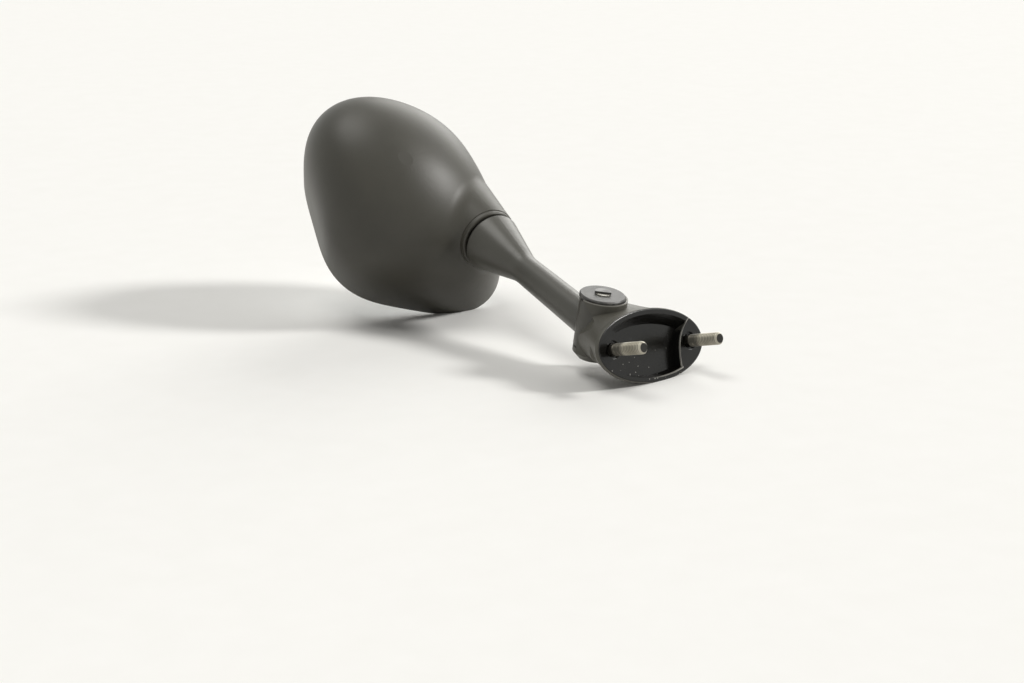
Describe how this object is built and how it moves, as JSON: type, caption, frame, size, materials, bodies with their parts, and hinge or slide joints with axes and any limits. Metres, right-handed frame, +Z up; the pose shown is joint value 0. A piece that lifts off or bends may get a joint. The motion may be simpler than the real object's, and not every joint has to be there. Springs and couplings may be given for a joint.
{
  "type": "motorcycle mirror",
  "caption": "Folding motorcycle mirror for a fairing: deep rounded housing with convex glass on a ball joint, flared arm, capped fold pivot and oval flange with mounting studs.",
  "frame": {"origin": "on the mounting face, midway between the two studs", "axes": "+X along the stud line, the studs point along -Y into the fairing, +Z up towards the pivot cap"},
  "size_m": [0.1112, 0.2216, 0.1591],
  "materials": {
    "base_paint": "matte black paint on a casting",
    "stud_zinc": "dull zinc plate",
    "pin_black": "black with a worn edge",
    "cap_paint": "satin black",
    "washer_plastic": "plain",
    "spring_steel": "oiled",
    "fastener_zinc": "zinc plate",
    "arm_paint": "satin black paint",
    "ball_steel": "turned and greased",
    "liner_plastic": "plain moulded",
    "housing_plastic": "satin black moulding",
    "mirror_glass": "convex mirror",
    "pad_foam": "adhesive foam",
    "holder_plastic": "plain moulded",
    "socket_alloy": "as cast"
  },
  "bodies": {
    "base": {"base_casting": "base_paint", "mounting_studs": "stud_zinc", "pivot_pin": "pin_black", "pivot_cap": "cap_paint", "upper_washer": "washer_plastic", "lower_washer": "washer_plastic", "spring_washers": "spring_steel", "pivot_nut": "fastener_zinc"},
    "arm": {"arm": "arm_paint", "ball_stud": "ball_steel"},
    "liner": {"ball_liner": "liner_plastic"},
    "head": {"mirror_housing": "housing_plastic", "mirror_glass": "mirror_glass", "glass_pad": "pad_foam", "glass_holder": "holder_plastic", "holder_screws": "fastener_zinc", "socket_body": "socket_alloy", "pressure_cup": "liner_plastic", "pressure_spring": "spring_steel", "socket_cover": "fastener_zinc", "socket_screws": "fastener_zinc"}
  },
  "joints": [
    {"name": "fold", "type": "hinge", "parent": "base", "child": "arm", "pos_m": [-0.01215, 0.02275, 0.0102], "axis": [-0.0732, -0.4199, 0.9046], "range_deg": [-30, 45]},
    {"name": "pan", "type": "hinge", "parent": "arm", "child": "liner", "pos_m": [-0.00074, 0.112, 0.06195], "axis": [-0.0825, -0.492, 0.8667], "range_deg": [-10, 10]},
    {"name": "tilt", "type": "hinge", "parent": "liner", "child": "head", "pos_m": [-0.00074, 0.112, 0.06195], "axis": [0.9905, -0.1365, 0.0169], "range_deg": [-9, 9]}
  ]
}
